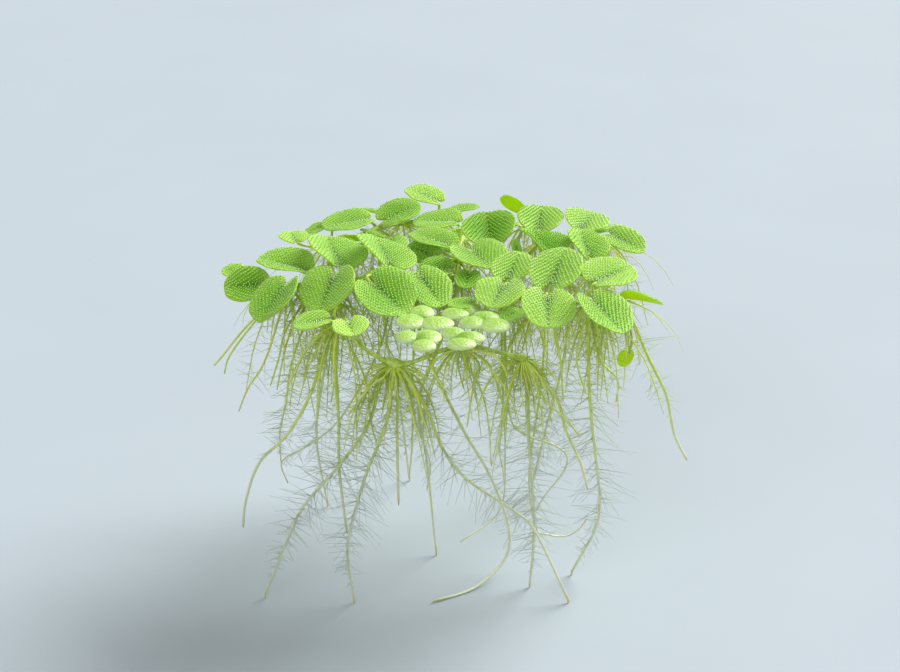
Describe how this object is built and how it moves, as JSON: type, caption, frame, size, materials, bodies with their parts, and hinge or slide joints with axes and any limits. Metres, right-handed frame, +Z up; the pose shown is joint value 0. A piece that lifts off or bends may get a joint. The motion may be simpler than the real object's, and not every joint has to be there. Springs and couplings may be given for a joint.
{
  "type": "floating water fern",
  "caption": "Clump of floating water fern: round folded leaves in pairs on thin runners, duckweed at one edge and long hairy roots hanging below.",
  "frame": {"origin": "middle of the clump's bounding box, on the surface that its longest roots stand on", "axes": "+X to the right along the clump's longest side as seen from its duckweed edge, +Y to the back, +Z up; the waterline is 66 mm above the origin"},
  "size_m": [0.0986, 0.0757, 0.076],
  "materials": {
    "runner": "moist olive-green stem",
    "leaf": "bright green leaf with rows of pale papillae",
    "duckweed": "smooth pale green frond",
    "root": "moist olive strand that pales towards its tip"
  },
  "bodies": {
    "root": {"runner_front_left": "runner", "runner_front_right": "runner", "runner_middle": "runner", "runner_back_right": "runner", "runner_back_left": "runner", "runner_low_front": "runner", "leaf_01": "leaf", "leaf_02": "leaf", "leaf_03": "leaf", "leaf_04": "leaf", "leaf_05": "leaf", "leaf_06": "leaf", "leaf_07": "leaf", "leaf_08": "leaf", "leaf_09": "leaf", "leaf_10": "leaf", "leaf_11": "leaf", "leaf_12": "leaf", "leaf_13": "leaf", "leaf_14": "leaf", "leaf_15": "leaf", "leaf_16": "leaf", "leaf_17": "leaf", "leaf_18": "leaf", "leaf_19": "leaf", "leaf_20": "leaf", "leaf_21": "leaf", "leaf_22": "leaf", "leaf_23": "leaf", "leaf_24": "leaf", "leaf_25": "leaf", "leaf_26": "leaf", "leaf_27": "leaf", "leaf_28": "leaf", "leaf_29": "leaf", "leaf_30": "leaf", "leaf_31": "leaf", "leaf_32": "leaf", "leaf_33": "leaf", "leaf_34": "leaf", "duckweed_1": "duckweed", "duckweed_2": "duckweed", "duckweed_3": "duckweed", "duckweed_4": "duckweed", "duckweed_5": "duckweed", "root_01": "root", "root_02": "root", "root_03": "root", "root_04": "root", "root_05": "root", "root_06": "root", "root_07": "root", "root_08": "root", "root_09": "root", "root_10": "root", "root_11": "root", "root_12": "root", "root_13": "root", "root_14": "root", "root_15": "root"}
  },
  "joints": []
}
